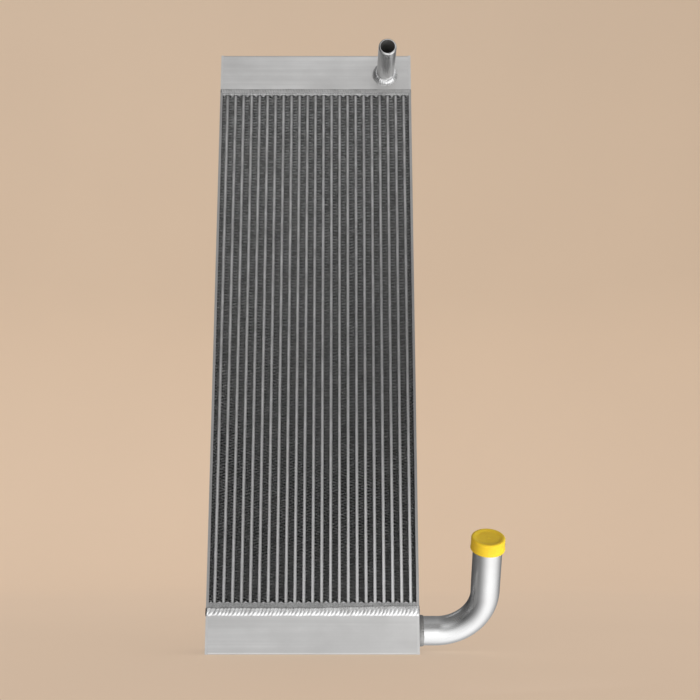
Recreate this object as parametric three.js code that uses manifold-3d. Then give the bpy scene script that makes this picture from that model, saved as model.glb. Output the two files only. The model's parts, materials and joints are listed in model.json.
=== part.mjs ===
// Hydraulic oil cooler, brazed aluminium, bar-and-plate type.
//
// It stands upright: X across the width, Y from the front (-Y) to the back, +Z up, in millimetres. The origin is the
// centre of the bottom tank's underside. Oil comes in at a bent pipe on the bottom tank's right end, rises through 23
// flat passages, and leaves at a straight spigot on the front of the top tank. Air passes from front to back between
// the passages, through corrugated fins. A plastic dust cap closes the bent pipe and pulls off along it.

import * as THREE from 'three';
import * as BufferGeometryUtils from 'three/addons/utils/BufferGeometryUtils.js';
import Module from 'manifold-3d';

const wasm = await Module();
wasm.setup();

// ---- Driving dimensions ----

const TUBE_COUNT = 23; // oil passages across the width
const TUBE_PITCH = 13;
const SHEET = 0.6; // parting sheet
const OIL_GAP = 3; // between the two sheets of a passage
const OIL_BAR = 8; // width of the bar that closes a passage at the front and at the back
const TURBULATOR_WEBS = 2;
const TURBULATOR_WEB = 1.2;
const OUTER_AIR_GAP = 6; // air channel between the last passage and a side plate
const SIDE_PLATE = 3.9;

const DEPTH = 100; // tanks, side plates and end bars, front to back
const FACE_LIP = 1.5; // end bars stand this far in front of the passages, and behind them
const FIN_RECESS = 0.5; // the fins end this far inside the passages' faces
const CORE_HEIGHT = 822;
const END_BAR_BOTTOM = 12; // height of the bars that close the air channels
const END_BAR_TOP = 9.6;
const TANK_HEIGHT = 60;
const TANK_WALL = 4;
const TANK_EDGE_RADIUS = 2;
const END_PLATE = 4;

const FIN_LEGS = 20; // folds of one fin: far fewer, and thicker, than the real sheet has
const FIN_THICKNESS = 0.6;

const BRAZE_GAP = 0.05; // left between brazed neighbours
const WELD_GAP = 0.3; // left round a pipe in its hole

const SPIGOT_RADIUS = 14;
const SPIGOT_BORE = 11.25;
const SPIGOT_X = 113.2;
const SPIGOT_DROP = 34; // below the top of the cooler
const SPIGOT_REACH = 90; // out of the tank's front face
const SPIGOT_LEAD = 1.8; // chamfer round its mouth
const SPIGOT_FILLET = 7; // leg of the weld fillet round the spigot's foot
const SPIGOT_FILLET_LENGTH = 5;

const PIPE_RADIUS = 21.2;
const PIPE_BORE = 18.5;
const PIPE_HEIGHT = 29.7; // of its first leg, above the underside
const PIPE_RUN = 98; // from the tank's end to the second leg's axis
const PIPE_BEND = 70; // radius of the bend's centre line
const PIPE_LEAN = THREE.MathUtils.degToRad(33); // of the second leg, from upright towards the front
const PIPE_RISE = 159.3; // along the second leg, from the first leg's axis to the open end

const CAP_RADIUS = 24.9;
const CAP_WALL = 3.2;
const CAP_ROOF = 2.6;
const CAP_LENGTH = 19;
const CAP_EDGE = 2.4; // rounding of the cap's outer edge

// ---- Worked out from them ----

const TUBE_THICKNESS = OIL_GAP + 2 * SHEET;
const AIR_GAP = TUBE_PITCH - TUBE_THICKNESS;
const HALF_STACK = ((TUBE_COUNT - 1) * TUBE_PITCH + TUBE_THICKNESS) / 2 + OUTER_AIR_GAP;
const HALF_WIDTH = HALF_STACK + SIDE_PLATE;
const CORE_BOTTOM = TANK_HEIGHT;
const CORE_TOP = CORE_BOTTOM + CORE_HEIGHT;
const HEIGHT = CORE_TOP + TANK_HEIGHT;
const TUBE_DEPTH = DEPTH - 2 * FACE_LIP;
const FIN_DEPTH = TUBE_DEPTH - 2 * FIN_RECESS;
const FRONT = -DEPTH / 2;

const ROUND_SEGMENTS = 24;

// ---- Materials ----

function metal(name, color, roughness) {
  return new THREE.MeshStandardMaterial({ name, color, roughness, metalness: 1 });
}

const tankSheet = metal('tank_sheet', 0xc4c1be, 0.45);
const coreBar = metal('core_bar', 0xa9a9aa, 0.5);
const finSheet = metal('fin_sheet', 0x8b8c8d, 0.6);
const sidePlateMetal = metal('side_plate', 0xb9b7b4, 0.5);
const pipeMetal = metal('pipe', 0xcfcfd0, 0.3);
const capPlastic = new THREE.MeshStandardMaterial({
  name: 'cap_plastic', color: 0xf2d02c, roughness: 0.45, metalness: 0,
});

// ---- Helpers ----

function rectangle(Target, left, right, low, high) {
  const outline = new Target();
  outline.moveTo(left, low);
  outline.lineTo(right, low);
  outline.lineTo(right, high);
  outline.lineTo(left, high);
  outline.closePath();
  return outline;
}

function ring(outer, inner) {
  const shape = new THREE.Shape();
  shape.absarc(0, 0, outer, 0, 2 * Math.PI);
  const hole = new THREE.Path();
  hole.absarc(0, 0, inner, 0, 2 * Math.PI, true);
  shape.holes.push(hole);
  return shape;
}

function extrude(shape, depth, curveSegments = ROUND_SEGMENTS / 2) {
  return new THREE.ExtrudeGeometry(shape, { depth, bevelEnabled: false, curveSegments });
}

function solid(geometry) {
  const bare = geometry.clone();
  bare.deleteAttribute('normal');
  bare.deleteAttribute('uv');
  const merged = BufferGeometryUtils.mergeVertices(bare);
  return new wasm.Manifold(new wasm.Mesh({
    numProp: 3,
    vertProperties: new Float32Array(merged.attributes.position.array),
    triVerts: new Uint32Array(merged.index.array),
  }));
}

function geometryOf(manifold) {
  const mesh = manifold.getMesh();
  const geometry = new THREE.BufferGeometry();
  geometry.setAttribute('position', new THREE.BufferAttribute(mesh.vertProperties, mesh.numProp));
  geometry.setIndex(new THREE.BufferAttribute(mesh.triVerts, 1));
  geometry.computeVertexNormals();
  return geometry;
}

function node(name, geometry, material) {
  const mesh = new THREE.Mesh(geometry, material);
  mesh.name = name;
  return mesh;
}

function numbered(name, index) {
  return `${name}_${String(index + 1).padStart(2, '0')}`;
}

// ---- Core ----

// One oil passage: two parting sheets, a closing bar at the front and the back, and the turbulator's webs between
// them, brazed into one flat tube with open ends.
function oilTube(index) {
  const half = TUBE_THICKNESS / 2;
  const shape = rectangle(THREE.Shape, -half, half, -TUBE_DEPTH / 2, TUBE_DEPTH / 2);
  const ports = TURBULATOR_WEBS + 1;
  const span = TUBE_DEPTH - 2 * OIL_BAR;
  const port = (span - TURBULATOR_WEBS * TURBULATOR_WEB) / ports;
  for (let i = 0; i < ports; i++) {
    const start = -span / 2 + i * (port + TURBULATOR_WEB);
    shape.holes.push(rectangle(THREE.Path, -OIL_GAP / 2, OIL_GAP / 2, start, start + port));
  }
  const mesh = node(numbered('oil_tube', index), extrude(shape, CORE_HEIGHT), coreBar);
  mesh.position.set((index - (TUBE_COUNT - 1) / 2) * TUBE_PITCH, 0, CORE_BOTTOM);
  return mesh;
}

// A corrugated fin that fills one air channel: a folded ribbon whose folds touch both neighbours.
function airFin(index, centre, gap) {
  const width = gap - 2 * BRAZE_GAP;
  const height = CORE_HEIGHT - END_BAR_BOTTOM - END_BAR_TOP - 2 * BRAZE_GAP;
  const legHeight = height / FIN_LEGS;
  const halfRibbon = (FIN_THICKNESS / 2) * Math.hypot(width, legHeight) / legHeight;
  const reach = width / 2 - halfRibbon;
  const shape = new THREE.Shape();
  const fold = (i, side) => [(i % 2 === 0 ? -reach : reach) + side * halfRibbon, i * legHeight];
  shape.moveTo(...fold(0, 1));
  for (let i = 1; i <= FIN_LEGS; i++) shape.lineTo(...fold(i, 1));
  for (let i = FIN_LEGS; i >= 0; i--) shape.lineTo(...fold(i, -1));
  shape.closePath();
  const mesh = node(numbered('air_fin', index), extrude(shape, FIN_DEPTH), finSheet);
  mesh.rotation.x = Math.PI / 2;
  mesh.position.set(centre, FIN_DEPTH / 2, CORE_BOTTOM + END_BAR_BOTTOM + BRAZE_GAP);
  return mesh;
}

function airFins() {
  const lastTube = HALF_STACK - OUTER_AIR_GAP;
  const channels = [{ centre: -lastTube - OUTER_AIR_GAP / 2, gap: OUTER_AIR_GAP }];
  for (let i = 1; i < TUBE_COUNT; i++) {
    channels.push({ centre: (i - TUBE_COUNT / 2) * TUBE_PITCH, gap: AIR_GAP });
  }
  channels.push({ centre: lastTube + OUTER_AIR_GAP / 2, gap: OUTER_AIR_GAP });
  return channels.map(({ centre, gap }, index) => airFin(index, centre, gap));
}

// The bars that close all the air channels at one end of the core, joined by a lip in front of the passages and one
// behind them. The passages come through its slots.
function endBars(name, bottom, height) {
  let bars = solid(new THREE.BoxGeometry(2 * (HALF_STACK - BRAZE_GAP), DEPTH, height));
  for (let i = 0; i < TUBE_COUNT; i++) {
    const slot = new THREE.BoxGeometry(
      TUBE_THICKNESS + 2 * BRAZE_GAP, TUBE_DEPTH + 2 * BRAZE_GAP, 2 * height,
    );
    slot.translate((i - (TUBE_COUNT - 1) / 2) * TUBE_PITCH, 0, 0);
    bars = bars.subtract(solid(slot));
  }
  const mesh = node(name, geometryOf(bars), coreBar);
  mesh.position.z = bottom + height / 2;
  return mesh;
}

function sidePlate(name, side) {
  const geometry = new THREE.BoxGeometry(SIDE_PLATE, DEPTH, CORE_HEIGHT);
  const mesh = node(name, geometry, sidePlateMetal);
  mesh.position.set(side * (HALF_WIDTH - SIDE_PLATE / 2), 0, CORE_BOTTOM + CORE_HEIGHT / 2);
  return mesh;
}

// ---- Tanks ----

// The channel's section, its web at the bottom: drawn with Y across and Z up, extruded along X.
function tankSection() {
  const half = DEPTH / 2;
  const inner = half - TANK_WALL;
  const radius = TANK_EDGE_RADIUS;
  const rim = TANK_HEIGHT - BRAZE_GAP;
  const shape = new THREE.Shape();
  shape.moveTo(-half + radius, 0);
  shape.lineTo(half - radius, 0);
  shape.absarc(half - radius, radius, radius, -Math.PI / 2, 0);
  shape.lineTo(half, rim);
  shape.lineTo(inner, rim);
  shape.lineTo(inner, TANK_WALL);
  shape.lineTo(-inner, TANK_WALL);
  shape.lineTo(-inner, rim);
  shape.lineTo(-half, rim);
  shape.lineTo(-half, radius);
  shape.absarc(-half + radius, radius, radius, Math.PI, 1.5 * Math.PI);
  return shape;
}

const ALONG_X = new THREE.Matrix4().makeBasis(
  new THREE.Vector3(0, 1, 0),
  new THREE.Vector3(0, 0, 1),
  new THREE.Vector3(1, 0, 0),
);

function tankChannel() {
  const length = 2 * (HALF_WIDTH - END_PLATE - BRAZE_GAP);
  const geometry = extrude(tankSection(), length, 3);
  geometry.applyMatrix4(ALONG_X);
  geometry.translate(-length / 2, 0, 0);
  return geometry;
}

// Turned over to stand on the core's top end, and bored through its front wall for the spigot.
function topTankChannel() {
  const geometry = tankChannel();
  geometry.rotateX(Math.PI);
  geometry.translate(0, 0, HEIGHT);
  const drill = new THREE.CylinderGeometry(
    SPIGOT_RADIUS + WELD_GAP, SPIGOT_RADIUS + WELD_GAP, 4 * TANK_WALL, ROUND_SEGMENTS,
  );
  drill.translate(SPIGOT_X, FRONT, HEIGHT - SPIGOT_DROP);
  return geometryOf(solid(geometry).subtract(solid(drill)));
}

// An end plate fills the channel's end from face to face, drawn with Y across and Z up.
function tankEnd(name, side, bottom, hole) {
  const shape = rectangle(THREE.Shape, -DEPTH / 2, DEPTH / 2, BRAZE_GAP, TANK_HEIGHT - BRAZE_GAP);
  if (hole) {
    const bore = new THREE.Path();
    bore.absarc(0, hole.height, hole.radius, 0, 2 * Math.PI, true);
    shape.holes.push(bore);
  }
  const geometry = extrude(shape, END_PLATE);
  geometry.applyMatrix4(ALONG_X);
  const mesh = node(name, geometry, tankSheet);
  mesh.position.set(side > 0 ? HALF_WIDTH - END_PLATE : -HALF_WIDTH, 0, bottom);
  return mesh;
}

// ---- Pipes and cap ----

// The straight spigot with the weld fillet round its foot, turned about its own axis: the profile runs from the end
// inside the tank to the mouth.
function spigot() {
  const inside = -TANK_WALL;
  const foot = WELD_GAP;
  const profile = [
    [SPIGOT_BORE, inside],
    [SPIGOT_RADIUS, inside],
    [SPIGOT_RADIUS, foot],
    [SPIGOT_RADIUS + SPIGOT_FILLET, foot],
    [SPIGOT_RADIUS + SPIGOT_FILLET * 0.35, foot + SPIGOT_FILLET_LENGTH * 0.6],
    [SPIGOT_RADIUS, foot + SPIGOT_FILLET_LENGTH],
    [SPIGOT_RADIUS, SPIGOT_REACH - SPIGOT_LEAD],
    [SPIGOT_RADIUS - SPIGOT_LEAD, SPIGOT_REACH],
    [SPIGOT_BORE, SPIGOT_REACH],
    [SPIGOT_BORE, inside],
  ];
  const points = profile.map(([radius, along]) => new THREE.Vector2(radius, along));
  const mesh = node('top_spigot', new THREE.LatheGeometry(points, ROUND_SEGMENTS), pipeMetal);
  mesh.rotation.x = Math.PI;
  mesh.position.set(SPIGOT_X, FRONT, HEIGHT - SPIGOT_DROP);
  return mesh;
}

const LEG = new THREE.Vector3(0, -Math.sin(PIPE_LEAN), Math.cos(PIPE_LEAN)); // the second leg's direction
const CORNER = new THREE.Vector3(HALF_WIDTH + PIPE_RUN, 0, PIPE_HEIGHT); // where the two legs' axes meet

// The bend: a quarter circle from the first leg, which runs along +X, round to the second.
class PipeBend extends THREE.Curve {
  getPoint(t, target = new THREE.Vector3()) {
    const turn = t * Math.PI / 2;
    target.copy(CORNER);
    target.x += PIPE_BEND * (Math.sin(turn) - 1);
    return target.addScaledVector(LEG, PIPE_BEND * (1 - Math.cos(turn)));
  }
}

function bentPipe() {
  const bend = new PipeBend();
  const start = CORNER.clone().setX(HALF_WIDTH - END_PLATE);
  const end = CORNER.clone().addScaledVector(LEG, PIPE_RISE);
  const path = new THREE.CurvePath();
  path.add(new THREE.LineCurve3(start, bend.getPoint(0)));
  path.add(bend);
  path.add(new THREE.LineCurve3(bend.getPoint(1), end));
  const geometry = new THREE.ExtrudeGeometry(ring(PIPE_RADIUS, PIPE_BORE), {
    steps: 24, bevelEnabled: false, curveSegments: ROUND_SEGMENTS / 2, extrudePath: path,
  });
  return node('bent_pipe', geometry, pipeMetal);
}

// The cap, turned about its own axis with its closed end up: it is set over the pipe's open end.
function dustCap() {
  const bore = CAP_RADIUS - CAP_WALL;
  const roof = CAP_LENGTH - CAP_ROOF;
  const edgeSteps = 3;
  const points = [new THREE.Vector2(0, roof), new THREE.Vector2(bore, roof), new THREE.Vector2(bore, 0)];
  points.push(new THREE.Vector2(CAP_RADIUS, 0));
  for (let i = 0; i <= edgeSteps; i++) {
    const turn = (i / edgeSteps) * Math.PI / 2;
    points.push(new THREE.Vector2(
      CAP_RADIUS - CAP_EDGE * (1 - Math.cos(turn)),
      CAP_LENGTH - CAP_EDGE * (1 - Math.sin(turn)),
    ));
  }
  points.push(new THREE.Vector2(0, CAP_LENGTH));
  const mesh = node('dust_cap', new THREE.LatheGeometry(points, ROUND_SEGMENTS), capPlastic);
  mesh.quaternion.setFromUnitVectors(new THREE.Vector3(0, 1, 0), LEG);
  mesh.position.copy(CORNER).addScaledVector(LEG, PIPE_RISE + WELD_GAP - roof);
  return mesh;
}

// ---- Assembly ----

const cooler = new THREE.Group();

for (let i = 0; i < TUBE_COUNT; i++) cooler.add(oilTube(i));
cooler.add(...airFins());
cooler.add(endBars('end_bars_bottom', CORE_BOTTOM, END_BAR_BOTTOM));
cooler.add(endBars('end_bars_top', CORE_TOP - END_BAR_TOP, END_BAR_TOP));
cooler.add(sidePlate('side_plate_left', -1));
cooler.add(sidePlate('side_plate_right', 1));

cooler.add(node('tank_bottom', tankChannel(), tankSheet));
cooler.add(node('tank_top', topTankChannel(), tankSheet));
cooler.add(tankEnd('tank_end_bottom_left', -1, 0));
cooler.add(tankEnd('tank_end_bottom_right', 1, 0, { height: PIPE_HEIGHT, radius: PIPE_RADIUS + WELD_GAP }));
cooler.add(tankEnd('tank_end_top_left', -1, CORE_TOP));
cooler.add(tankEnd('tank_end_top_right', 1, CORE_TOP));

cooler.add(spigot());
cooler.add(bentPipe());
cooler.add(dustCap());

export default cooler;
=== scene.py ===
"""Looks of the hydraulic oil cooler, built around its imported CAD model: +Z up, front at -Y, in metres.

The tanks, tank ends, side plates and end bars are the CAD nodes themselves, with softened edges and
better materials. The oil passages, fins, pipes and cap are replaced by finer pieces, and the weld seams
are added.
"""

import json
import math
import random

import bpy
import numpy as np
from mathutils import Matrix, Vector, noise


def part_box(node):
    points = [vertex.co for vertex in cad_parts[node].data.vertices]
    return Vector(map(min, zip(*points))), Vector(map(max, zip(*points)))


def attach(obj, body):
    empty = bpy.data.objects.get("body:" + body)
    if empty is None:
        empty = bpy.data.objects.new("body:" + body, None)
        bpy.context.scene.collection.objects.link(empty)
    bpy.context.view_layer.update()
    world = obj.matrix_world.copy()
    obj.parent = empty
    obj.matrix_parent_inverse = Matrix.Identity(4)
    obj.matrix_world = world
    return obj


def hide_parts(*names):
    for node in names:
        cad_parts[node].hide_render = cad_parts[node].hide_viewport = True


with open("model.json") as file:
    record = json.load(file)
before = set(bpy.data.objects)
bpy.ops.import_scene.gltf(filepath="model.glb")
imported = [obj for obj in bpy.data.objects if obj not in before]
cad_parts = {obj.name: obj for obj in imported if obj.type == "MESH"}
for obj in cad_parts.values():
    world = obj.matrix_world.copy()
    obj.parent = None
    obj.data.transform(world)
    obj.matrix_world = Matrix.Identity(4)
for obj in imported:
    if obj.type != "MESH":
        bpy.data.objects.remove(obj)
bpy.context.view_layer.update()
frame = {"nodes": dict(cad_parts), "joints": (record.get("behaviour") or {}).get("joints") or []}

random.seed(11)

MM = 0.001
COOLER = "cooler"
CAP_BODY = "dust_cap"
TURN = 2 * math.pi
INSIDE = -2.0  # second UV coordinate of the points inside a pipe

# Sizes in metres that the frame doesn't give.
SHEET = 0.6 * MM  # parting sheet
OIL_BAR_WIDTH = 8 * MM  # of the bar that closes a passage at the front and at the back
BAR_SETBACK = 0.35 * MM  # of the closing bars behind the sheets' edges
TURBULATOR_SHEET = 0.25 * MM
TURBULATOR_PITCH = 2.6 * MM
TURBULATOR_FOOT = 0.6 * MM
FIN_SHEET = 0.2 * MM
FIN_PITCH = 2.4 * MM  # height from one fold to the next
FIN_LIP = 9 * MM  # depth of the straight stretch at a fin's front and back
FIN_WAVE = 16 * MM  # depth of one slope between the bends of a wavy fin
FIN_WAVE_HEIGHT = 5.4 * MM
FIN_JITTER = 0.3 * MM
FIN_BEND = 0.3 * MM  # how far handling has bent the lips of single folds up or down
FIN_EDGE = 2 * MM  # depth of the bent stretch of a lip
FIN_FOOT = 0.45 * MM  # height of the stretch where a fold lies on its wall
SPIGOT_RADIUS = 14 * MM
SPIGOT_BORE = 11.25 * MM
SPIGOT_LEAD = 1.8 * MM  # chamfer round its mouth
PIPE_RADIUS = 21.2 * MM
PIPE_BORE = 18.5 * MM
PIPE_BEND = 70 * MM
PIPE_FLATTENING = 0.035  # share of its height that the bent pipe loses in its bend
UV_LENGTH = 0.1  # length of pipe to one unit of its UVs
CAP_WALL = 3.2 * MM
CAP_ROOF = 2.6 * MM
CAP_LENGTH = 19 * MM


# ---- Mesh helpers ----

def mesh_object(name, points, faces, uvs=None):
    """A mesh object at the origin. uvs holds one (u, v) for each point."""
    mesh = bpy.data.meshes.new(name)
    mesh.from_pydata([tuple(p) for p in points], [], faces)
    if uvs is not None:
        layer = mesh.uv_layers.new(name="along")
        corner_points = np.empty(len(mesh.loops), dtype=np.int32)
        mesh.loops.foreach_get("vertex_index", corner_points)
        layer.data.foreach_set("uv", np.asarray(uvs, dtype=np.float32)[corner_points].ravel())
    mesh.validate()
    mesh.update()
    obj = bpy.data.objects.new(name, mesh)
    bpy.context.scene.collection.objects.link(obj)
    return obj


def grid_faces(rows, columns, wrap_rows, wrap_columns, start=0):
    """Quads over points stored row by row."""
    faces = []
    for r in range(rows if wrap_rows else rows - 1):
        for c in range(columns if wrap_columns else columns - 1):
            r2 = (r + 1) % rows
            c2 = (c + 1) % columns
            faces.append((
                start + r * columns + c,
                start + r * columns + c2,
                start + r2 * columns + c2,
                start + r2 * columns + c,
            ))
    return faces


def shade(obj, angle=35):
    """Smooth shading with sharp edges over the angle, in degrees."""
    obj.data.shade_smooth()
    obj.data.set_sharp_from_angle(angle=math.radians(angle))
    return obj


def finished(obj, material, body=COOLER, replaces=()):
    """Gives a piece its material and attaches it to its body."""
    obj.data.materials.clear()
    obj.data.materials.append(material)
    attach(obj, body)
    if replaces:
        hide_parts(*replaces)
    return obj


def soften(obj, width, segments=2):
    """Rounds a CAD node's edges without touching its mesh."""
    bevel = obj.modifiers.new("softened_edges", "BEVEL")
    bevel.width = width
    bevel.segments = segments
    bevel.limit_method = "ANGLE"
    bevel.angle_limit = math.radians(40)
    bevel.harden_normals = True


def offset_line(line, distance):
    """The open line of (x, y) points moved sideways, with mitred corners."""
    line = np.asarray(line, dtype=float)
    step = np.diff(line, axis=0)
    normal = np.stack([-step[:, 1], step[:, 0]], axis=1) / np.linalg.norm(step, axis=1)[:, None]
    before = np.vstack([normal[:1], normal])
    after = np.vstack([normal, normal[-1:]])
    middle = before + after
    middle /= np.linalg.norm(middle, axis=1)[:, None]
    cosine = np.maximum((middle * before).sum(axis=1), 0.35)
    return line + middle * (distance / cosine)[:, None]


def lathe(profile, segments, place, inside=()):
    """A surface turned about local Z, and set in the frame by the matrix place.
    profile is a closed loop of (radius, height), or runs from axis to axis. Its points that are listed in
    inside get INSIDE as the second part of their UV, which tells the material that they are a bore's."""
    points = []
    uvs = []
    rings = []
    for k, (radius, height) in enumerate(profile):
        if radius == 0:
            rings.append([len(points)] * segments)
            points.append(place @ Vector((0, 0, height)))
            uvs.append((0, k))
            continue
        rings.append([len(points) + i for i in range(segments)])
        for i in range(segments):
            angle = TURN * i / segments
            points.append(place @ Vector((radius * math.cos(angle), radius * math.sin(angle), height)))
            uvs.append((i / segments, INSIDE if k in inside else k / len(profile)))
    closed = profile[0][0] != 0
    faces = []
    for k in range(len(rings) if closed else len(rings) - 1):
        low = rings[k]
        high = rings[(k + 1) % len(rings)]
        for i in range(segments):
            j = (i + 1) % segments
            corners = [low[i], low[j], high[j], high[i]]
            face = [p for n, p in enumerate(corners) if p != corners[n - 1]]
            if len(face) > 2:
                faces.append(face)
    return points, faces, uvs


def aim(origin, axis, across):
    """The matrix with local Z along axis and local X near across."""
    z = axis.normalized()
    x = (across - across.dot(z) * z).normalized()
    y = z.cross(x)
    turn = Matrix((x, y, z)).transposed().to_4x4()
    return Matrix.Translation(origin) @ turn


# ---- Materials ----

class Material:
    """A node material round one Principled shader, with the few node calls used below."""

    def __init__(self, name, **sockets):
        self.data = bpy.data.materials.new(name)
        self.data.use_nodes = True
        self.tree = self.data.node_tree
        self.shader = self.tree.nodes["Principled BSDF"]
        for socket, value in sockets.items():
            self.shader.inputs[socket.replace("_", " ")].default_value = value

    def node(self, kind, inputs, **settings):
        made = self.tree.nodes.new(kind)
        for key, value in settings.items():
            setattr(made, key, value)
        for key, value in inputs.items():
            if isinstance(value, bpy.types.NodeSocket):
                self.tree.links.new(value, made.inputs[key])
            else:
                made.inputs[key].default_value = value
        return made

    def place(self, scale, source="Object", rotation=(0, 0, 0)):
        """Texture coordinates in the frame's metres, stretched by scale."""
        coordinates = self.node("ShaderNodeTexCoord", {})
        return self.node("ShaderNodeMapping", {
            "Vector": coordinates.outputs[source], "Scale": scale, "Rotation": rotation,
        }).outputs["Vector"]

    def part(self, vector, axis):
        return self.node("ShaderNodeSeparateXYZ", {"Vector": vector}).outputs[axis]

    def facing(self, axis):
        """How far a face looks along an axis of the frame, -1 to 1."""
        return self.part(self.node("ShaderNodeNewGeometry", {}).outputs["True Normal"], axis)

    def noise(self, vector, detail=3.0, rough=0.5):
        return self.node("ShaderNodeTexNoise", {
            "Vector": vector, "Scale": 1.0, "Detail": detail, "Roughness": rough,
        }).outputs["Fac"]

    def spread(self, value, low, high, to_low, to_high):
        """value mapped from low..high to to_low..to_high, and clamped."""
        return self.node("ShaderNodeMapRange", {
            "Value": value, "From Min": low, "From Max": high, "To Min": to_low, "To Max": to_high,
        }).outputs["Result"]

    def math(self, operation, a, b=0.0):
        return self.node("ShaderNodeMath", {0: a, 1: b}, operation=operation).outputs[0]

    def mix(self, factor, first, second):
        made = self.node("ShaderNodeMix", {}, data_type="RGBA")
        for socket, value in (("Factor", factor), ("A", first), ("B", second)):
            target = next(s for s in made.inputs if s.name == socket and s.enabled)
            if isinstance(value, bpy.types.NodeSocket):
                self.tree.links.new(value, target)
            else:
                target.default_value = value
        return next(s for s in made.outputs if s.enabled)

    def connect(self, socket, value):
        self.tree.links.new(value, self.shader.inputs[socket])

    def bump(self, *layers):
        """layers are (height, distance in metres), laid over each other."""
        normal = None
        for height, distance in layers:
            inputs = {"Height": height, "Distance": distance, "Strength": 1.0}
            if normal is not None:
                inputs["Normal"] = normal
            normal = self.node("ShaderNodeBump", inputs).outputs["Normal"]
        self.connect("Normal", normal)


def grey(value, warmth=0.0):
    return (value * (1 + warmth), value, value * (1 - warmth), 1.0)


def rolled_sheet(name, light, dark, stretch, rough, side_shade=0.0):
    """Mill-finished aluminium sheet: fine rolling lines along one axis, faint stains, a few scratches.
    stretch holds the lines' scale along X, Y and Z. The last argument, from 0 to 1, darkens the faces that
    look sideways as painted shade."""
    m = Material(name, Metallic=1.0)
    lines = m.noise(m.place(stretch), detail=4.0, rough=0.65)
    grain = m.noise(m.place((900, 900, 900)), detail=2.0)
    stains = m.noise(m.place((9, 9, 14)), detail=5.0, rough=0.6)
    bands = m.noise(m.place([s * 0.3 for s in stretch]), detail=2.0)
    askew = m.place([s * 0.35 for s in stretch], rotation=(0.03, 0.05, 0.04))
    scratches = m.noise(askew, detail=8.0, rough=0.8)
    scratch = m.spread(scratches, 0.66, 0.7, 0.0, 1.0)
    tone = m.mix(m.spread(stains, 0.35, 0.7, 0.0, 1.0), light, dark)
    tone = m.mix(m.spread(lines, 0.3, 0.7, 0.0, 0.45), tone, dark)
    tone = m.mix(m.spread(bands, 0.42, 0.6, 0.0, 0.5), tone, dark)
    tone = m.mix(m.math("MULTIPLY", scratch, 0.35), tone, grey(0.85))
    # Painted shade: faces that look sideways along X are darkened.
    if side_shade:
        sideways = m.math("ABSOLUTE", m.facing("X"))
        tone = m.mix(m.spread(sideways, 0.6, 0.9, 0.0, side_shade), tone, grey(0.32, 0.01))
    m.connect("Base Color", tone)
    roughness = m.math("ADD", m.spread(lines, 0.25, 0.75, rough - 0.07, rough + 0.07),
                       m.spread(stains, 0.3, 0.7, -0.04, 0.05))
    m.connect("Roughness", roughness)
    m.bump((lines, 0.00006), (grain, 0.00002))
    return m.data


def brazed_bar(name, light, dull, dark, coarse, lower_right_light=0.0):
    """Bars and sheet edges after brazing: satin, drawn lines up the bars, dull flux marks and small bright
    runs. coarse, from 0 to 1, roughens it as beside a weld. The last argument paints light on it: it
    brightens it towards the cooler's lower right."""
    m = Material(name, Metallic=1.0)
    lines = m.noise(m.place((1500, 1500, 6)), detail=3.0, rough=0.6)
    marks = m.noise(m.place((60, 60, 26)), detail=6.0, rough=0.7)
    runs = m.noise(m.place((260, 260, 90)), detail=3.0)
    spatter = m.noise(m.place((520, 520, 520)), detail=5.0, rough=0.75)
    tone = m.mix(m.spread(marks, 0.4, 0.68, 0.0, 1.0), grey(light, 0.002), grey(dull, 0.004))
    tone = m.mix(m.spread(runs, 0.62, 0.7, 0.0, 0.7), tone, grey(light * 1.15))
    tone = m.mix(m.spread(lines, 0.35, 0.7, 0.0, 0.3), tone, grey(dark))
    tone = m.mix(m.spread(spatter, 0.45, 0.62, 0.0, 0.85 * coarse), tone, grey(dark * 0.6, 0.02))
    # Painted light: the metal brightens low down towards the cooler's right.
    if lower_right_light:
        here = m.place((1, 1, 1))
        low = m.spread(m.part(here, "Z"), 0.1, 0.42, lower_right_light, 0.0)
        right = m.spread(m.part(here, "X"), -0.155, 0.155, 0.25, 1.0)
        tone = m.mix(m.math("MULTIPLY", low, right), tone, grey(0.9))
    m.connect("Base Color", tone)
    m.connect("Roughness", m.spread(marks, 0.3, 0.7, 0.36, 0.56))
    m.bump((lines, 0.00004), (runs, 0.0001), (spatter, 0.00002 + 0.00022 * coarse))
    return m.data


def fin_metal():
    """Thin matt sheet. Its tone differs from fold to fold. It carries painted shade: it darkens towards the
    bottom of the core, and faces that look left are darkened."""
    m = Material("fin_metal", Metallic=1.0)
    tone = m.noise(m.place((45, 30, 25)), detail=5.0, rough=0.65)
    fine = m.noise(m.place((700, 500, 700)), detail=2.0)
    folds = m.noise(m.place((70, 5, 420)), detail=1.0)
    leftward = m.math("MULTIPLY", m.facing("X"), -1.0)
    colour = m.mix(m.spread(tone, 0.35, 0.68, 0.0, 1.0), grey(0.92), grey(0.8, 0.006))
    # Painted shade: the fins darken towards the bottom of the core.
    dull = m.spread(m.part(m.place((1, 1, 1)), "Z"), 0.3, 0.85, 0.35, 0.0)
    colour = m.mix(dull, colour, grey(0.36, 0.006))
    colour = m.mix(m.spread(folds, 0.48, 0.62, 0.0, 0.6), colour, grey(0.42, 0.006))
    # Painted shade: faces that look left are darkened.
    colour = m.mix(m.spread(leftward, 0.1, 0.2, 0.0, 0.7), colour, grey(0.4, 0.006))
    m.connect("Base Color", colour)
    m.connect("Roughness", m.spread(tone, 0.3, 0.7, 0.6, 0.8))
    m.bump((fine, 0.00003))
    return m.data


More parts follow.
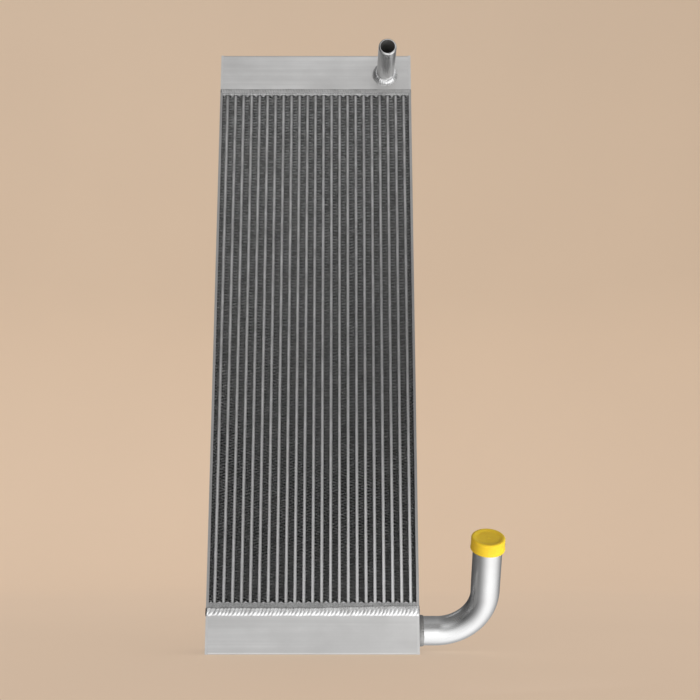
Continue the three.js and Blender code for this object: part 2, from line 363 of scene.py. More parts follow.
def weld_metal(name, bright, dull, rough):
    """Weld bead: bright, fresh metal along its middle, dull at its toes. The UVs run along and across it.
    """
    m = Material(name, Metallic=1.0)
    across = m.part(m.place((1, 1, 1), source="UV"), "Y")
    toe = m.spread(m.math("ABSOLUTE", m.math("SUBTRACT", across, 0.5)), 0.3, 0.5, 0.0, 1.0)
    cells = m.noise(m.place((420, 420, 420)), detail=4.0, rough=0.6)
    soot = m.noise(m.place((70, 70, 70)), detail=4.0, rough=0.6)
    tone = m.mix(m.spread(soot, 0.42, 0.7, 0.0, 0.8), bright, dull)
    tone = m.mix(m.math("MULTIPLY", toe, m.spread(cells, 0.3, 0.6, 0.2, 0.9)), tone, dull)
    m.connect("Base Color", tone)
    m.connect("Roughness", m.spread(cells, 0.3, 0.7, rough - 0.08, rough + 0.12))
    m.bump((cells, 0.00016))
    return m.data


def drawn_tube():
    """Drawn aluminium tube: fine lines along it, faint handling marks, and a dull dark bore. The UVs run
    round and along it."""
    m = Material("drawn_tube", Metallic=1.0)
    along = m.part(m.place((1, 1, 1), source="UV"), "Y")
    bore = m.spread(along, -0.6, -0.3, 1.0, 0.0)
    lines = m.noise(m.place((130, 1.6, 1), source="UV"), detail=4.0, rough=0.6)
    marks = m.noise(m.place((26, 26, 26)), detail=4.0, rough=0.55)
    fine = m.noise(m.place((1300, 1300, 1300)), detail=2.0)
    tone = m.mix(m.spread(marks, 0.38, 0.7, 0.0, 1.0), grey(0.84), grey(0.77, 0.008))
    tone = m.mix(m.spread(lines, 0.35, 0.7, 0.0, 0.2), tone, grey(0.66))
    tone = m.mix(bore, tone, grey(0.3, 0.03))
    m.connect("Base Color", tone)
    roughness = m.math("ADD", m.spread(lines, 0.3, 0.7, 0.26, 0.32),
                       m.spread(marks, 0.35, 0.7, -0.015, 0.03))
    m.connect("Roughness", m.math("ADD", roughness, m.math("MULTIPLY", bore, 0.4)))
    m.bump((lines, 0.00002), (fine, 0.000004))
    return m.data


def yellow_plastic():
    """Moulded soft plastic: even colour with a slightly worn, paler skin and a fine matt texture."""
    m = Material("yellow_plastic", Subsurface_Weight=0.12, Specular_IOR_Level=0.45)
    m.shader.inputs["Subsurface Radius"].default_value = (0.004, 0.002, 0.0006)
    m.shader.inputs["Subsurface Scale"].default_value = 0.6
    wear = m.noise(m.place((120, 120, 120)), detail=6.0, rough=0.7)
    clouds = m.noise(m.place((45, 45, 45)), detail=2.0)
    fine = m.noise(m.place((1600, 1600, 1600)), detail=2.0)
    colour = m.mix(m.spread(clouds, 0.35, 0.7, 0.0, 1.0), (0.82, 0.62, 0.036, 1), (0.77, 0.56, 0.028, 1))
    colour = m.mix(m.spread(wear, 0.62, 0.75, 0.0, 0.35), colour, (0.93, 0.78, 0.2, 1))
    m.connect("Base Color", colour)
    m.connect("Roughness", m.spread(wear, 0.3, 0.7, 0.34, 0.5))
    m.bump((fine, 0.00002), (wear, 0.00005))
    return m.data


def studio_paper():
    """Beige backdrop paper that glows by its own emission, more strongly low down, so that it stays even.
    """
    m = Material("studio_paper", Roughness=0.9, Emission_Strength=1.0)
    clouds = m.spread(m.noise(m.place((1.5, 1.5, 1.5)), detail=3.0), 0.3, 0.7, 0.0, 1.0)
    fine = m.noise(m.place((400, 400, 400)), detail=2.0)
    m.connect("Base Color", m.mix(clouds, (0.45, 0.36, 0.28, 1), (0.435, 0.347, 0.27, 1)))
    height = m.part(m.place((1, 1, 1)), "Z")
    glow = m.mix(m.spread(height, 0.0, 1.6, 0.0, 1.0), (0.415, 0.325, 0.247, 1), (0.3, 0.245, 0.19, 1))
    m.connect("Emission Color", glow)
    m.bump((fine, 0.00003))
    return m.data


TANK = rolled_sheet("tank_rolled_sheet", grey(0.8, 0.008), grey(0.64, 0.012), (3, 200, 340), 0.42)
# The tank ends and side plates carry painted shade on their faces that look sideways.
TANK_END = rolled_sheet("tank_end_sheet", grey(0.77, 0.008), grey(0.68, 0.012), (200, 4, 300), 0.42, 0.8)
SIDE = rolled_sheet("side_plate_sheet", grey(0.5, 0.006), grey(0.4, 0.01), (300, 300, 4), 0.45, 0.6)
# The oil passages' bars carry painted light towards the cooler's lower right.
BAR = brazed_bar("brazed_bar", 0.63, 0.44, 0.39, 0.0, lower_right_light=0.9)
# Painted light and shade: the bottom end bars get darker tones than the top ones, standing for the shade
# above the bottom weld.
BAR_END = {
    "bottom": brazed_bar("brazed_bar_end_bottom", 0.5, 0.38, 0.32, 1.0),
    "top": brazed_bar("brazed_bar_end_top", 0.66, 0.5, 0.44, 1.0),
}
BRAZE = brazed_bar("braze_fillet", 0.84, 0.6, 0.5, 0.4)
FIN = fin_metal()
WELD_BRIGHT = weld_metal("weld_bright", grey(0.92), grey(0.66, 0.01), 0.28)
WELD_CLEAN = weld_metal("weld_clean", grey(0.95), grey(0.84), 0.26)
# Painted shade: the top seam's weld and the pipe collar's weld get darker tones than the bottom seam's.
WELD_DULL_AND_SHADED = weld_metal("weld_dull_and_shaded", grey(0.57, 0.01), grey(0.39, 0.02), 0.42)
WELD_SHADED_DARK = weld_metal("weld_shaded_dark", grey(0.44, 0.015), grey(0.3, 0.02), 0.46)
TUBE = drawn_tube()
PLASTIC = yellow_plastic()


# ---- CAD nodes that stay, with softened edges ----

def keep(name, material, width):
    node = frame["nodes"][name]
    node.data.materials.clear()
    node.data.materials.append(material)
    soften(node, width)


for tank in ("tank_bottom", "tank_top"):
    keep(tank, TANK, 0.5 * MM)
for end in ("bottom_left", "bottom_right", "top_left", "top_right"):
    keep("tank_end_" + end, TANK_END, 1.0 * MM)
for side in ("left", "right"):
    keep("side_plate_" + side, SIDE, 0.4 * MM)
for level in ("bottom", "top"):
    keep("end_bars_" + level, BAR_END[level], 0.8 * MM)


# ---- Core ----

def same_place(first, second):
    return first[0] == second[0] and abs(first[1] - second[1]) <= 1e-7


def folded_line(across, start, end, pitch, foot, jitter):
    """The corrugation's centre line between the walls at -across/2 and across/2, as (side, along) points:
    each fold lies flat on its wall for the length of foot."""
    folds = max(2, round((end - start) / pitch))
    line = []
    drift = random.uniform(0, 100)
    for i in range(folds + 1):
        along = start + (end - start) * i / folds
        if 0 < i < folds:
            along += jitter * (noise.noise(Vector((drift, i * 0.07, 0))) * 5 + random.uniform(-0.5, 0.5))
        side = across / 2 if i % 2 else -across / 2
        line.append((side, max(start, along - foot / 2)))
        line.append((side, min(end, along + foot / 2)))
    return [p for n, p in enumerate(line) if n == 0 or not same_place(p, line[n - 1])]


def ribbon(line, thickness, depths, place):
    """A closed sheet that follows line and runs through depths. place(side, depth, along) gives a
    point."""
    left = offset_line(line, thickness / 2)
    right = offset_line(line, -thickness / 2)[::-1]
    loop = np.vstack([left, right])
    points = [place(side, depth, along) for depth in depths for side, along in loop]
    size = len(loop)
    faces = grid_faces(len(depths), size, False, True)
    half = len(left)
    for row, turned in ((0, False), (len(depths) - 1, True)):
        base = row * size
        for i in range(half - 1):
            face = (base + i, base + i + 1, base + size - 2 - i, base + size - 1 - i)
            faces.append(face[::-1] if not turned else face)
    return points, faces


def air_fin(name):
    """A wavy corrugated fin in its channel: the folds run from wall to wall, and the sheet bends up and
    down along the air's way through, so that nothing is seen straight through the core."""
    low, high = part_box(name)
    gap = high.x - low.x
    centre = (low.x + high.x) / 2
    bottom = low.z + FIN_WAVE_HEIGHT / 2
    top = high.z - FIN_WAVE_HEIGHT / 2
    line = folded_line(gap - FIN_SHEET, bottom, top, FIN_PITCH, FIN_FOOT, FIN_JITTER)
    front, back = low.y + FIN_LIP, high.y - FIN_LIP
    slopes = round((back - front) / FIN_WAVE)
    lift = {low.y: 0.0, low.y + FIN_EDGE: 0.0}
    for i in range(slopes + 1):
        wave = 0 if i in (0, slopes) else FIN_WAVE_HEIGHT / 2 * (1 if i % 2 else -1)
        lift[front + (back - front) * i / slopes] = wave
    lift[high.y - FIN_EDGE] = 0.0
    lift[high.y] = 0.0
    drift = random.uniform(0, 100)

    def place(side, depth, along):
        if depth not in (low.y, high.y):
            return centre + side, depth, along + lift[depth]
        seed = Vector((drift + side / gap * 0.5, along / FIN_PITCH * 0.55, depth * 40))
        bend = FIN_BEND * noise.noise(seed) * 1.6
        back_off = 0.35 * MM * (0.5 + noise.noise(seed * 2.3))
        return centre + side, depth + (back_off if depth < 0 else -back_off), along + bend

    points, faces = ribbon(line, FIN_SHEET, list(lift), place)
    obj = mesh_object(name.replace("air_fin", "wavy_fin"), points, faces)
    shade(obj, 30)
    return finished(obj, FIN, replaces=[name])


def bevelled_bar(x0, x1, y0, y1, z0, z1, chamfer):
    """Points and faces of an upright bar with its four upright edges chamfered."""
    outline = [
        (x0 + chamfer, y0), (x1 - chamfer, y0), (x1, y0 + chamfer), (x1, y1 - chamfer),
        (x1 - chamfer, y1), (x0 + chamfer, y1), (x0, y1 - chamfer), (x0, y0 + chamfer),
    ]
    count = len(outline)
    points = [(x, y, z) for z in (z0, z1) for x, y in outline]
    faces = grid_faces(2, count, False, True)
    faces.append(tuple(range(count))[::-1])
    faces.append(tuple(range(count, 2 * count)))
    return points, faces


def joined(parts):
    """Several (points, faces) lists as one."""
    points = []
    faces = []
    for some_points, some_faces in parts:
        start = len(points)
        points.extend(some_points)
        faces.extend(tuple(start + i for i in face) for face in some_faces)
    return points, faces


def oil_passage(name):
    """Two parting sheets, the closing bars between them at the front and the back, and the corrugated
    turbulator."""
    low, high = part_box(name)
    middle = (low.x + high.x) / 2
    bar = (high.x - low.x) / 2 - SHEET
    z0, z1 = low.z, high.z
    lean = random.uniform(-0.12, 0.12) * MM  # the sheets never line up quite exactly
    clear = 0.02 * MM
    parts = [
        bevelled_bar(low.x, low.x + SHEET, low.y + max(lean, 0), high.y, z0, z1, 0.12 * MM),
        bevelled_bar(high.x - SHEET, high.x, low.y + max(-lean, 0), high.y, z0, z1, 0.12 * MM),
    ]
    for y0 in (low.y + BAR_SETBACK, high.y - BAR_SETBACK - OIL_BAR_WIDTH):
        y1 = y0 + OIL_BAR_WIDTH
        parts.append(bevelled_bar(middle - bar + clear, middle + bar - clear, y0, y1, z0, z1, 0.5 * MM))
    inner = (high.y - low.y) / 2 - BAR_SETBACK - OIL_BAR_WIDTH - 0.3 * MM
    line = folded_line(2 * bar - 0.4 * MM, -inner, inner, TURBULATOR_PITCH, TURBULATOR_FOOT, 0)
    parts.append(ribbon(line, TURBULATOR_SHEET, [z0 + 2 * MM, z1 - 2 * MM],
                        lambda side, depth, along: (middle + side, along, depth)))
    obj = mesh_object(name.replace("oil_tube", "oil_passage"), *joined(parts))
    shade(obj, 30)
    return finished(obj, BAR, replaces=[name])


for node_name in sorted(frame["nodes"]):
    if node_name.startswith("air_fin"):
        air_fin(node_name)
    if node_name.startswith("oil_tube"):
        oil_passage(node_name)


# ---- Weld seams ----

def rippled(distance, across, pitch, slant, phase):
    """Height of a bead's ripples, 0 to 1, at a distance along it and a place across it, -1 to 1."""
    wobble = 0.4 * noise.noise(Vector((distance / pitch * 0.45, phase, 0)))
    step = distance / pitch + slant * across + 0.15 * across * across + wobble
    valley = (0.5 + 0.5 * math.cos(TURN * step)) ** 1.6
    return 1 - valley


def bead(name, path, width, height, pitch, slant, depth, material, sharp, crest=0.0, spread=0.0):
    """A rippled bead round a closed path of (point, outward, sideways) frames. It stands out by height,
    spans width, and reaches into the metal by depth. crest shifts its highest line sideways, -1 to 1.
    spread widens its upper half towards the right end, by that share."""
    section = 15
    points = []
    uvs = []
    total = 0.0
    phase = random.uniform(0, 50)
    lengths = [(path[(i + 1) % len(path)][0] - path[i][0]).length for i in range(len(path))]
    loop = sum(lengths)
    pitch = loop / round(loop / pitch)
    for i, (point, outward, sideways) in enumerate(path):
        edge = 1 + 0.1 * noise.noise(Vector((total / (2.1 * pitch), phase, 5)))
        body = 1 + 0.16 * noise.noise(Vector((total / (1.7 * pitch), phase, 9)))
        body *= 1 - 0.6 * abs(outward.x)  # lower round the ends
        for k in range(section):
            across = math.cos(math.pi * (1 - k / (section - 1)))
            from_crest = (across - crest) / (1 - crest if across > crest else 1 + crest)
            round_off = math.sqrt(max(0.0, 1 - from_crest * from_crest)) ** 0.8
            ripple = rippled(total, across, pitch, slant, phase)
            cut = sharp * (1 - 0.45 * max(0.0, -across))  # the ripples fade towards the lower toe
            rise = height * body * round_off * (1 - cut + cut * ripple)
            toe = width / 2 * across * edge * (1 + 0.06 * (ripple - 0.5))
            if across > 0:
                toe *= 1 + spread * max(0.0, min(1.0, point.x / (0.7 * half_width)))
            points.append(point + sideways * toe + outward * rise)
            uvs.append((total / loop, k / (section - 1)))
        for across in (0.8, -0.8):
            points.append(point + sideways * (width / 2 * across) - outward * depth)
            uvs.append((total / loop, (across + 1) / 2))
        total += lengths[i]
    faces = grid_faces(len(path), section + 2, True, True)
    obj = mesh_object(name, points, faces, uvs)
    shade(obj, 60)
    return finished(obj, material)


def box_path(half_x, half_y, z, radius, step):
    """Frames round an upright box at height z, with its corners rounded."""
    up = Vector((0, 0, 1))
    frames = []
    corners = [(1, -1, -90), (1, 1, 0), (-1, 1, 90), (-1, -1, 180)]
    for n, (sx, sy, start) in enumerate(corners):
        centre = Vector((sx * (half_x - radius), sy * (half_y - radius), z))
        for k in range(5):
            angle = math.radians(start + 90 * k / 4)
            outward = Vector((math.cos(angle), math.sin(angle), 0))
            frames.append((centre + outward * radius, outward, up))
        after = corners[(n + 1) % 4]
        next_start = Vector((after[0] * (half_x - radius), after[1] * (half_y - radius), z))
        begin = frames[-1][0]
        end = next_start + outward * radius
        count = round((end - begin).length / step)
        frames += [(begin.lerp(end, k / count), outward, up) for k in range(1, count)]
    return frames


low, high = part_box("tank_bottom")
end_low, end_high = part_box("tank_end_bottom_right")
half_width = end_high.x
half_depth = high.y
core_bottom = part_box("side_plate_left")[0].z
core_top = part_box("side_plate_left")[1].z
SEAM_STEP = 0.55 * MM

bead("weld_core_bottom", box_path(half_width, half_depth, core_bottom - 0.6 * MM, 2 * MM, SEAM_STEP),
     12 * MM, 2.6 * MM, 5.7 * MM, -0.5, 1.0 * MM, WELD_BRIGHT, 0.19, crest=-0.15, spread=0.45)
# The top seam's weld carries painted shade in its darker tones.
bead("weld_core_top", box_path(half_width, half_depth, core_top - 2.9 * MM, 2 * MM, SEAM_STEP),
     6 * MM, 1.1 * MM, 4.2 * MM, 0.3, 1.0 * MM, WELD_DULL_AND_SHADED, 0.5)


PEAK_OUT = 0.35 * MM  # how far the braze stands out of the fins' front and back
PEAK_DEPTH = 3.2 * MM


def braze_peaks(level, up):
    """The end folds of all the fins at one end of the core, thick with braze: a small peak across each
    channel, at the front and at the back. up is 1 where they point up, and -1 where they hang down."""
    parts = []
    for name in sorted(frame["nodes"]):
        if not name.startswith("air_fin"):
            continue
        low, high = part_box(name)
        base = (low.z if up > 0 else high.z) - up * 0.02 * MM
        for side_of_core in (-1, 1):
            y0 = side_of_core * (abs(low.y) + PEAK_OUT)
            y1 = side_of_core * (abs(low.y) - PEAK_DEPTH)
            tip = random.uniform(2.3, 3.3) * MM
            top = (low.x + high.x) / 2 + random.uniform(-0.09, 0.09) * (high.x - low.x)
            reach = (high.x - low.x) / 2 - 0.1 * MM
            middle = (low.x + high.x) / 2
            rows = []
            for y, swell in ((y0, 0.82), (y0 + (y1 - y0) * 0.15, 1.0), (y1, 0.9)):
                row = []
                for k in range(9):
                    across = -1 + k / 4
                    x = middle + reach * across
                    side = (x - top) / (reach + abs(top - middle))
                    rise = tip * swell * (0.16 + 0.84 * max(0.0, 1 - abs(side) * 1.25) ** 1.15)
                    row.append((x, y, base + up * rise))
                rows.append(row)
            points = [p for row in rows for p in row]
            points += [(x, y, base) for row in rows for x, y, _ in row]
            size = len(rows[0])
            half = len(rows) * size
            outer = grid_faces(len(rows), size, False, False)
            faces = outer + [tuple(half + i for i in face[::-1]) for face in outer]
            rim = list(range(size))
            rim += [size * r + size - 1 for r in range(1, len(rows))]
            rim += [size * (len(rows) - 1) + c for c in range(size - 2, -1, -1)]
            rim += [size * r for r in range(len(rows) - 2, 0, -1)]
            for n, a in enumerate(rim):
                b = rim[(n + 1) % len(rim)]
                faces.append((a, half + a, half + b, b))
            parts.append((points, faces))
    obj = mesh_object("braze_peaks_" + level, *joined(parts))
    shade(obj, 50)
    return finished(obj, BRAZE)


def braze_line(name, z, width, height):
    """A wavy run of braze along an end bar's edge, at the front and at the back."""
    parts = []
    reach = half_width - 5 * MM
    count = 260
    for face in (-1, 1):
        drift = random.uniform(0, 100)
        points = []
        for i in range(count + 1):
            x = -reach + 2 * reach * i / count
            swell = 1 + 0.75 * noise.noise(Vector((x / (3.4 * MM), drift, 0)))
            middle = z + 0.7 * MM * noise.noise(Vector((x / (8 * MM), drift, 4)))
            for k in range(7):
                turn = math.pi * k / 6
                y = face * (half_depth - 0.25 * MM + height * swell * math.sin(turn))
                points.append((x, y, middle + width / 2 * swell * math.cos(turn)))
        faces = grid_faces(count + 1, 7, False, True)
        faces.append(tuple(range(7))[::-1])
        faces.append(tuple(range(count * 7, count * 7 + 7)))
        if face > 0:
            faces = [tuple(reversed(f)) for f in faces]
        parts.append((points, faces))
    obj = mesh_object(name, *joined(parts))
    shade(obj, 60)
    return finished(obj, BRAZE)


braze_peaks("bottom", 1)
braze_peaks("top", -1)
braze_line("braze_line_top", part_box("end_bars_top")[0].z + 1.1 * MM, 1.7 * MM, 0.6 * MM)


# ---- Pipes ----

def fillet_weld(name, centre, axis, across, radius, leg_out, leg_up, pitch, material, hollow, ripple,
                waver):
    """A rippled weld round the foot of a tube: it spreads leg_out over the plate and climbs leg_up on the
    tube. hollow is over 1 for a concave section, and under 1 for a full one. waver makes it uneven."""
    section = 9
    place = aim(centre, axis, across)
    loop = TURN * (radius + leg_out / 2)
    ripples = round(loop / pitch)
    steps = ripples * 10
    points = []
    uvs = []
    phase = random.uniform(0, 50)
    for i in range(steps):
        angle = TURN * i / steps
        wobble = 1 + waver * noise.noise(Vector((math.cos(angle) * 2.4, math.sin(angle) * 2.4, phase)))
        for k in range(section):
            turn = math.pi / 2 * k / (section - 1)
            side = 2 * k / (section - 1) - 1
            step = ripples * i / steps + 0.25 * side - 0.2 * side * side
            valley = (0.5 + 0.5 * math.cos(TURN * step)) ** 2
            body = 1 - ripple * valley * max(0.0, math.sin(2 * turn)) ** 0.5
            out = leg_out * wobble * max(0.0, math.cos(turn)) ** hollow * body
            up = leg_up * wobble * math.sin(turn) ** hollow * body
            reach = radius + out
            points.append(place @ Vector((reach * math.cos(angle), reach * math.sin(angle), up)))
            uvs.append((i / steps, k / (section - 1)))
        inside = radius - 0.8 * MM
        points.append(place @ Vector((inside * math.cos(angle), inside * math.sin(angle), leg_up * 0.5)))
        uvs.append((i / steps, 1.0))
        points.append(place @ Vector((inside * math.cos(angle), inside * math.sin(angle), -0.8 * MM)))
        uvs.append((i / steps, 0.5))
        edge = radius + leg_out * 0.8
        points.append(place @ Vector((edge * math.cos(angle), edge * math.sin(angle), -0.8 * MM)))
        uvs.append((i / steps, 0.0))
    faces = grid_faces(steps, section + 3, True, True)
    obj = mesh_object(name, points, faces, uvs)
    shade(obj, 60)
    return finished(obj, material)


def spigot():
    """The upper port: a straight hose tail with a lead-in chamfer, welded to the tank's front."""
    low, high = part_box("top_spigot")
    foot = Vector(((low.x + high.x) / 2, -half_depth, (low.z + high.z) / 2))
    out = Vector((0, -1, 0))
    reach = foot.y - low.y
    start = foot.y - high.y
    lead = SPIGOT_LEAD
    profile = [(SPIGOT_BORE, start), (SPIGOT_RADIUS, start), (SPIGOT_RADIUS, reach - lead - 0.5 * MM)]
    mouth = SPIGOT_RADIUS - lead
    profile += [(SPIGOT_RADIUS - 0.1 * MM, reach - lead)]
    profile += [(SPIGOT_RADIUS - 0.4 * MM, reach - lead + 0.5 * MM)]
    profile += [(mouth + 0.35 * MM, reach - 0.35 * MM), (mouth, reach - 0.08 * MM)]
    profile += [(mouth - 0.2 * MM, reach), (SPIGOT_BORE + 0.2 * MM, reach)]
    profile += [(SPIGOT_BORE, reach - 0.25 * MM)]
    sideways = Vector((1, 0, 0))
    points, faces, uvs = lathe(profile, 96, aim(foot, out, sideways), inside=(0, len(profile) - 1))
    obj = mesh_object("spigot_tube", points, faces, uvs)
    shade(obj, 50)
    finished(obj, TUBE, replaces=["top_spigot"])
    fillet_weld("weld_spigot", foot, out, sideways, SPIGOT_RADIUS - 0.1 * MM,
                leg_out=6.8 * MM, leg_up=9 * MM, pitch=3.6 * MM, material=WELD_CLEAN,
                hollow=1.15, ripple=0.02, waver=0.06)


def pipe_frames(corner, leg, start_x, rise):
    """Points and directions along the bent pipe's axis: along +X, round the bend, and up the leg."""
    across = Vector((1, 0, 0))
    frames = []
    start = Vector((start_x, corner.y, corner.z))
    bend_start = corner - across * PIPE_BEND
    straight = 14
    for k in range(straight):
        frames.append((start.lerp(bend_start, k / straight), across))
    steps = 40
    for k in range(steps + 1):
        angle = math.pi / 2 * k / steps
        aside = PIPE_BEND * math.sin(angle)
        up = PIPE_BEND * (1 - math.cos(angle))
        point = bend_start + across * aside + leg * up
        frames.append((point, across * math.cos(angle) + leg * math.sin(angle)))
    top = corner + leg * rise
    bend_end = frames[-1][0]
    for k in range(1, straight + 1):
        frames.append((bend_end.lerp(top, k / straight), leg))
    return frames


def bent_pipe():
    low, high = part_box("bent_pipe")
    leg = Vector(frame["joints"][0]["axis"]).normalized()
    corner = Vector((high.x - PIPE_RADIUS, 0, low.z + PIPE_RADIUS))
    rise = (high.z - corner.z - PIPE_RADIUS * abs(leg.y)) / leg.z
    frames = pipe_frames(corner, leg, low.x, rise)
    normal = Vector((1, 0, 0)).cross(leg).normalized()  # square to the bend's plane, all the way along
    segments = 72
    rim = 0.5 * MM
    length = sum((frames[i + 1][0] - frames[i][0]).length for i in range(len(frames) - 1))
    rings = []
    run = 0.0

    def squash(i):
        """How far the bending has flattened the pipe in the bend's plane, at a frame."""
        turned = math.acos(max(-1.0, min(1.0, frames[i][1].x)))
        return 1 - PIPE_FLATTENING * math.sin(2 * turned) ** 0.5 if 0 < turned < math.pi / 2 else 1.0

    for i, (point, direction) in enumerate(frames):
        if i:
            run += (point - frames[i - 1][0]).length
        shift = rim if i == len(frames) - 1 else 0
        rings.append((point - direction * shift, direction, PIPE_RADIUS, run / UV_LENGTH, squash(i)))
    point, direction = frames[-1]
    for k in range(1, 4):
        angle = math.pi / 2 * k / 3
        rings.append((point - direction * rim * (1 - math.sin(angle)), direction,
                      PIPE_RADIUS - rim * (1 - math.cos(angle)), length / UV_LENGTH, 1.0))
    for k in range(3):
        angle = math.pi / 2 * k / 3
        rings.append((point - direction * rim * (1 - math.cos(angle)), direction,
                      PIPE_BORE + rim * (1 - math.sin(angle)), length / UV_LENGTH, 1.0))
    for i, (point, direction) in reversed(list(enumerate(frames))):
        shift = rim if i == len(frames) - 1 else 0
        rings.append((point - direction * shift, direction, PIPE_BORE, INSIDE, squash(i)))
    points = []
    uvs = []
    for point, direction, radius, along, flat in rings:
        side = normal.cross(direction) * flat
        for s in range(segments):
            angle = TURN * s / segments
            points.append(point + side * (radius * math.cos(angle)) + normal * (radius * math.sin(angle)))
            uvs.append((s / segments, along))
    obj = mesh_object("bent_pipe_tube", points, grid_faces(len(rings), segments, True, True), uvs)
    shade(obj, 40)
    finished(obj, TUBE, replaces=["bent_pipe"])
    foot = Vector((half_width, corner.y, corner.z))
    # The collar's weld carries painted shade in its dark tones.
    fillet_weld("weld_bent_pipe", foot, Vector((1, 0, 0)), Vector((0, 0, 1)), PIPE_RADIUS - 0.1 * MM,
                leg_out=1.7 * MM, leg_up=9 * MM, pitch=4.2 * MM, material=WELD_SHADED_DARK, hollow=0.5, ripple=0.1,
                waver=0.06)
    return corner, leg, rise


spigot()
pipe_corner, pipe_leg, pipe_rise = bent_pipe()


# ---- Dust cap ----

def dust_cap():
    """The push-on cap: a slightly flared mouth with a bead, a rounded shoulder and a dished roof with a
    gate mark."""
    low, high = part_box("dust_cap")
    radius = (high.x - low.x) / 2
    bore = radius - CAP_WALL
    roof = pipe_rise + 0.3 * MM + CAP_ROOF  # height of the outer face above the bend's corner
    length = CAP_LENGTH
    base = pipe_corner + pipe_leg * (roof - length)
    ceiling = length - CAP_ROOF
    profile = [(0, ceiling), (bore - 1.0 * MM, ceiling), (bore, ceiling - 1.0 * MM)]
    profile += [(bore, 1.0 * MM), (bore + 0.5 * MM, 0.2 * MM), (bore + 0.9 * MM, 0)]
    profile += [(radius - 0.6 * MM, 0), (radius - 0.15 * MM, 0.25 * MM), (radius, 0.7 * MM)]
    wall = radius - 0.45 * MM
    profile += [(radius, 2.2 * MM), (radius - 0.25 * MM, 2.7 * MM), (wall, 3.0 * MM)]
    shoulder = 2.6 * MM
    profile.append((wall, length - shoulder))
    for k in range(1, 9):
        angle = math.pi / 2 * k / 8
        inward = shoulder * (1 - math.cos(angle))
        profile.append((wall - inward, length - shoulder * (1 - math.sin(angle))))
    lip = wall - shoulder
    dish = 1.0 * MM
    for k in range(1, 9):
        blend = k / 8
        sink = dish * (3 * blend ** 2 - 2 * blend ** 3)
        profile.append((lip - 0.6 * MM - 6.5 * MM * blend, length - sink))
    profile.append((2.2 * MM, length - dish))
    profile.append((1.9 * MM, length - dish + 0.35 * MM))
    profile.append((0.6 * MM, length - dish + 0.4 * MM))
    profile.append((0, length - dish + 0.4 * MM))
    points, faces, uvs = lathe(profile, 128, aim(base, pipe_leg, Vector((1, 0, 0))))
    obj = mesh_object("push_on_cap", points, faces, uvs)
    shade(obj, 40)
    finished(obj, PLASTIC, body=CAP_BODY, replaces=["dust_cap"])


dust_cap()


# ---- Studio ----

def studio_bowl():
    """A round seamless bowl: floor, cove and wall, wide enough that every view is from inside it."""
    flat, cove, top = 2.6, 1.3, 4.2
    floor = -0.0003
    profile = [(0.0, floor)] + [(flat * k / 10, floor) for k in range(1, 11)]
    for k in range(1, 17):
        angle = math.pi / 2 * k / 16
        profile.append((flat + cove * math.sin(angle), floor + cove * (1 - math.cos(angle))))
    profile.append((flat + cove, top))
    profile.append((flat + cove + 0.05, top))
    profile.append((flat + cove + 0.05, floor - 0.05))
    profile.append((0.0, floor - 0.05))
    points, faces, uvs = lathe(profile, 96, Matrix.Identity(4))
    obj = mesh_object("studio_bowl", points, faces, uvs)
    shade(obj, 40)
    obj.data.materials.append(studio_paper())
    obj.visible_glossy = False  # the metal reflects the neutral sky, not the beige paper
    obj.visible_shadow = False


def softbox(name, place, target, size, power, colour=(1, 1, 1)):
    data = bpy.data.lights.new(name, "AREA")
    data.shape = "RECTANGLE"
    data.size, data.size_y = size
    data.energy = power
    data.color = colour
    light = bpy.data.objects.new(name, data)
    bpy.context.scene.collection.objects.link(light)
    light.location = place
    light.rotation_euler = (Vector(target) - Vector(place)).to_track_quat("-Z", "Y").to_euler()
    light.visible_camera = False
    return light


def ramp(tree, value, stops):
    """A grey ramp node's colour output over a value that runs from -1 to 1. stops are (value,
    brightness)."""
    shift = tree.nodes.new("ShaderNodeMapRange")
    shift.inputs["From Min"].default_value = -1
    tree.links.new(value, shift.inputs["Value"])
    made = tree.nodes.new("ShaderNodeValToRGB")
    made.color_ramp.interpolation = "B_SPLINE"
    elements = made.color_ramp.elements
    for n, (at, bright) in enumerate(stops):
        element = elements[n] if n < 2 else elements.new((at + 1) / 2)
        element.position = (at + 1) / 2
        element.color = (bright, bright, bright, 1)
    tree.links.new(shift.outputs["Result"], made.inputs["Fac"])
    return made.outputs["Color"]


def product(tree, *values):
    result = values[0]
    for value in values[1:]:
        made = tree.nodes.new("ShaderNodeVectorMath")
        made.operation = "MULTIPLY"
        tree.links.new(result, made.inputs[0])
        tree.links.new(value, made.inputs[1])
        result = made.outputs["Vector"]
    return result


def sky():
    """Soft light from all round: brightest from the low front right, as off a white sheet, and dark to the
    left and behind. A weaker glow comes from the front left at the cooler's own height."""
    world = bpy.data.worlds.new("studio_sky")
    bpy.context.scene.world = world
    world.use_nodes = True
    tree = world.node_tree
    coordinates = tree.nodes.new("ShaderNodeTexCoord")
    split = tree.nodes.new("ShaderNodeSeparateXYZ")
    tree.links.new(coordinates.outputs["Generated"], split.inputs["Vector"])
    total = tree.nodes.new("ShaderNodeVectorMath")
    total.operation = "ADD"
    for n, ramps in enumerate((SKY, SKY_GLOW)):
        values = [ramp(tree, split.outputs[axis], stops) for axis, stops in zip("XYZ", ramps)]
        tree.links.new(product(tree, *values), total.inputs[n])
    background = tree.nodes["Background"]
    background.inputs["Strength"].default_value = SKY_STRENGTH
    tree.links.new(total.outputs["Vector"], background.inputs["Color"])


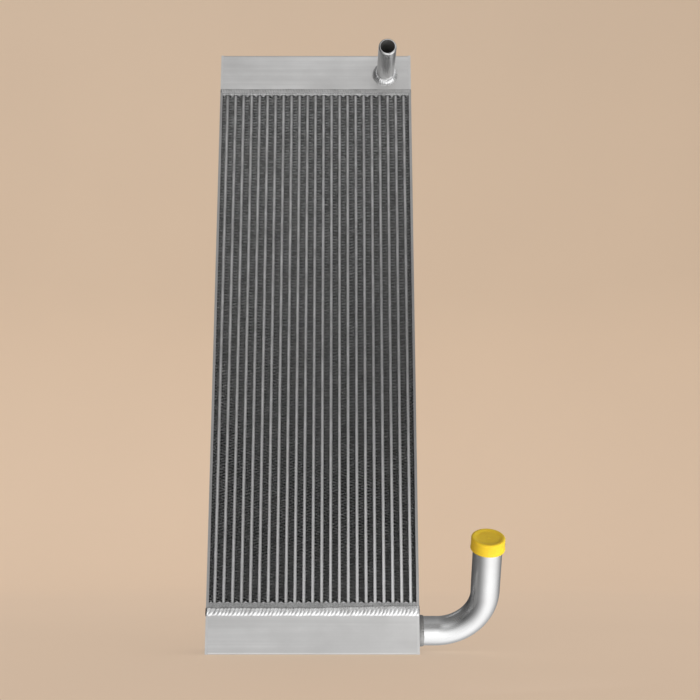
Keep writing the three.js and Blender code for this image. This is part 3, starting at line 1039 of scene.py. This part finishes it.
# Brightness by direction, for X, Y and Z from -1 to 1: the three are multiplied.
SKY_STRENGTH = 2.05
SKY = (
    ((-1, 0.08), (-0.75, 0.1), (-0.35, 0.47), (0.0, 0.82), (0.3, 1.0), (0.75, 0.85), (1, 0.45)),
    ((-1, 1.0), (0, 0.85), (0.35, 0.55), (0.6, 0.3), (1, 0.26)),
    ((-1, 0.7), (-0.6, 0.82), (-0.35, 0.85), (-0.2, 0.52), (0.0, 0.21), (0.2, 0.2), (0.5, 0.58),
     (0.75, 0.36), (1, 0.2)),
)
SKY_GLOW = (
    ((-1, 0.2), (-0.7, 0.4), (-0.4, 1.0), (-0.05, 0.8), (0.2, 0.0), (1, 0.0)),
    ((-1, 1.0), (-0.6, 0.5), (-0.3, 0.0), (1, 0.0)),
    ((-1, 0.0), (-0.4, 0.0), (-0.1, 0.13), (0.3, 0.13), (0.5, 0.17), (0.75, 0.05), (1, 0.0)),
)


def grey_flag():
    """A grey card in front of the bent pipe and above it, seen only in reflections: it keeps the upper sky
    out of the pipe's front, where the photograph shows a dark band."""
    left, right, bottom, top = 0.15, 0.4, 0.17, 0.8
    front, back = -0.454, -0.45
    corners = ((left, bottom), (right, bottom), (right, top), (left, top))
    points = [(x, y, z) for y in (back, front) for x, z in corners]
    faces = grid_faces(2, 4, False, True) + [(3, 2, 1, 0), (4, 5, 6, 7)]
    obj = mesh_object("grey_flag", points, faces)
    m = Material("grey_card", Roughness=0.9, Emission_Strength=1.0)
    clouds = m.spread(m.noise(m.place((6, 6, 6)), detail=3.0), 0.3, 0.7, 0.0, 1.0)
    m.connect("Base Color", m.mix(clouds, grey(0.02), grey(0.03)))
    m.connect("Emission Color", m.mix(clouds, grey(0.2), grey(0.24)))
    obj.data.materials.append(m.data)
    for rays in ("camera", "diffuse", "shadow", "transmission", "volume_scatter"):
        setattr(obj, "visible_" + rays, False)


def lights():
    sky()
    key = softbox("key_low_right", (1.3, -1.5, -0.35), (0.15, 0, 0.3), (0.9, 0.7), 34, (0.95, 1.0, 0.92))
    key.visible_glossy = False
    glow = softbox("glow_by_right_end", (0.28, -0.42, 0.0), (0.13, -0.05, 0.03), (0.2, 0.2), 0.07)
    glow.visible_diffuse = False
    back = softbox("back_left", (-1.0, 1.0, 1.65), (0, 0, 0.9), (1.3, 1.3), 2.6)
    back.visible_diffuse = False  # seen only in the top faces: the cooler hides it from the bent pipe


def camera():
    """The photograph's view: low and close in front of the cooler, a little right of its middle, tilted
    up."""
    data = bpy.data.cameras.new("photo_camera")
    data.sensor_width = 36
    data.lens = 49.89
    data.shift_x = 0.0112
    data.clip_start = 0.02
    obj = bpy.data.objects.new("photo_camera", data)
    bpy.context.scene.collection.objects.link(obj)
    distance, aside, height, tilt = 1.457, 0.043, 0.1396, 11.96
    obj.location = (aside, -half_depth - distance, height)
    obj.rotation_euler = (math.radians(90 + tilt), 0, 0)
    bpy.context.scene.camera = obj


studio_bowl()
grey_flag()
lights()
camera()
bpy.context.scene.view_settings.view_transform = "Standard"
